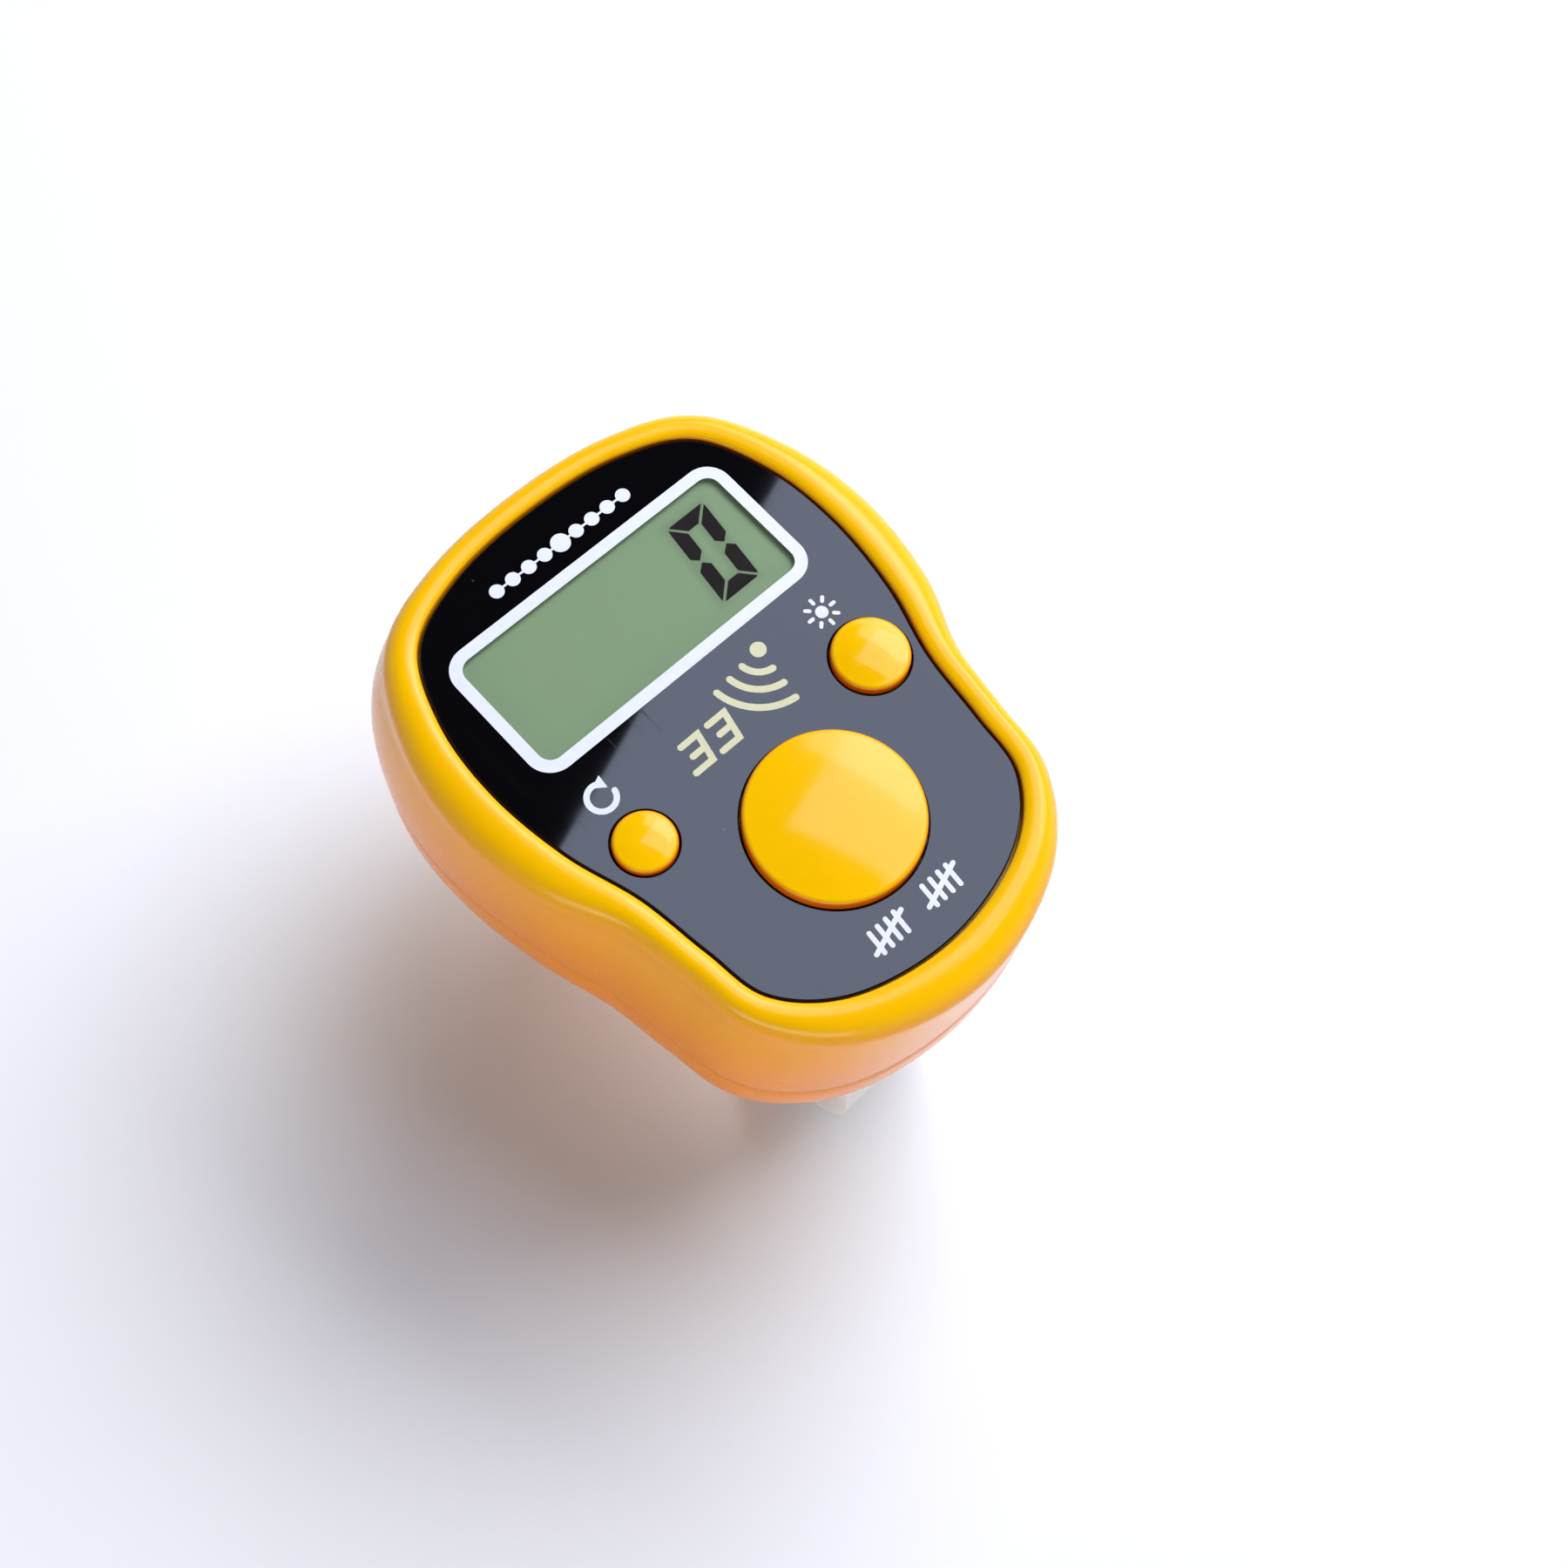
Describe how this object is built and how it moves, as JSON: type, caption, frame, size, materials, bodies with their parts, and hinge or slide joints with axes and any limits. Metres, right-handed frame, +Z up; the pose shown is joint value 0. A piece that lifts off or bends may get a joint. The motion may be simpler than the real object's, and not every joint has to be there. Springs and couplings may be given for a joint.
{
  "type": "digital finger tally counter",
  "caption": "Small electronic tally counter worn on a finger: moulded case with a display, press buttons and a hinged finger band underneath.",
  "frame": {"origin": "middle of the flat underside of the finger band, which the counter stands on", "axes": "+X along the finger, to the right of the display; +Y towards the display end; +Z up, out of the face"},
  "size_m": [0.0338, 0.0422, 0.0345],
  "materials": {
    "amber_case": "moulded gloss",
    "amber_button": "moulded gloss",
    "black_plate": "polished",
    "clear_pane": "polished",
    "display_glass": "polished",
    "display_film": "satin film",
    "white_moulding": "moulded matte",
    "black_moulding": "moulded matte",
    "conductive_rubber": "matt",
    "board_laminate": "solder mask",
    "dark_resin": "cast resin",
    "ceramic": "fired ceramic",
    "bright_steel": "bright",
    "spring_brass": "bright",
    "red_lead": "insulated",
    "black_lead": "insulated",
    "clear_band": "milky and soft"
  },
  "bodies": {
    "case": {"top_shell": "amber_case", "back_cover": "amber_case", "face_plate": "black_plate", "display_window": "clear_pane", "lcd_front_polariser": "display_film", "lcd_front_glass": "display_glass", "lcd_rear_glass": "display_glass", "lcd_rear_polariser": "display_film", "backlight_diffuser": "white_moulding", "lcd_holder": "white_moulding", "zebra_strip": "conductive_rubber", "circuit_board": "board_laminate", "chip_blob": "dark_resin", "resistor_1": "dark_resin", "resistor_2": "dark_resin", "capacitor_1": "ceramic", "capacitor_2": "ceramic", "backlight_led_left": "white_moulding", "backlight_led_right": "white_moulding", "sounder_transistor": "dark_resin", "cell_left": "bright_steel", "cell_right": "bright_steel", "cell_bridge_contact": "spring_brass", "negative_contact": "spring_brass", "positive_contact": "spring_brass", "sounder_disc": "spring_brass", "sounder_ceramic": "ceramic", "sounder_wire_ceramic": "red_lead", "sounder_wire_rim": "black_lead", "band_pin": "bright_steel", "count_switch_base": "black_moulding", "count_switch_cover": "bright_steel", "count_switch_dome": "bright_steel", "reset_switch_base": "black_moulding", "reset_switch_cover": "bright_steel", "reset_switch_dome": "bright_steel", "light_switch_base": "black_moulding", "light_switch_cover": "bright_steel", "light_switch_dome": "bright_steel", "case_screw_1": "bright_steel", "case_screw_2": "bright_steel", "case_screw_3": "bright_steel", "case_screw_4": "bright_steel"},
    "count_key": {"count_button": "amber_button", "count_plunger": "white_moulding"},
    "reset_key": {"reset_button": "amber_button", "reset_plunger": "white_moulding"},
    "light_key": {"light_button": "amber_button", "light_plunger": "white_moulding"},
    "band": {"finger_band": "clear_band"}
  },
  "joints": [
    {"name": "count_press", "type": "slide", "parent": "case", "child": "count_key", "axis": [0, 0, -1], "range_m": [0, 0.0006], "stiffness_N_per_m": 1500, "springref_m": -0.0004, "deforming": ["count_switch_dome"]},
    {"name": "reset_press", "type": "slide", "parent": "case", "child": "reset_key", "axis": [0, 0, -1], "range_m": [0, 0.0005], "stiffness_N_per_m": 1500, "springref_m": -0.0004, "deforming": ["reset_switch_dome"]},
    {"name": "light_press", "type": "slide", "parent": "case", "child": "light_key", "axis": [0, 0, -1], "range_m": [0, 0.0005], "stiffness_N_per_m": 1500, "springref_m": -0.0004, "deforming": ["light_switch_dome"]},
    {"name": "band_hinge", "type": "hinge", "parent": "case", "child": "band", "pos_m": [0, -0.01525, 0.0182], "axis": [-1, 0, 0], "range_deg": [0, 60]}
  ]
}
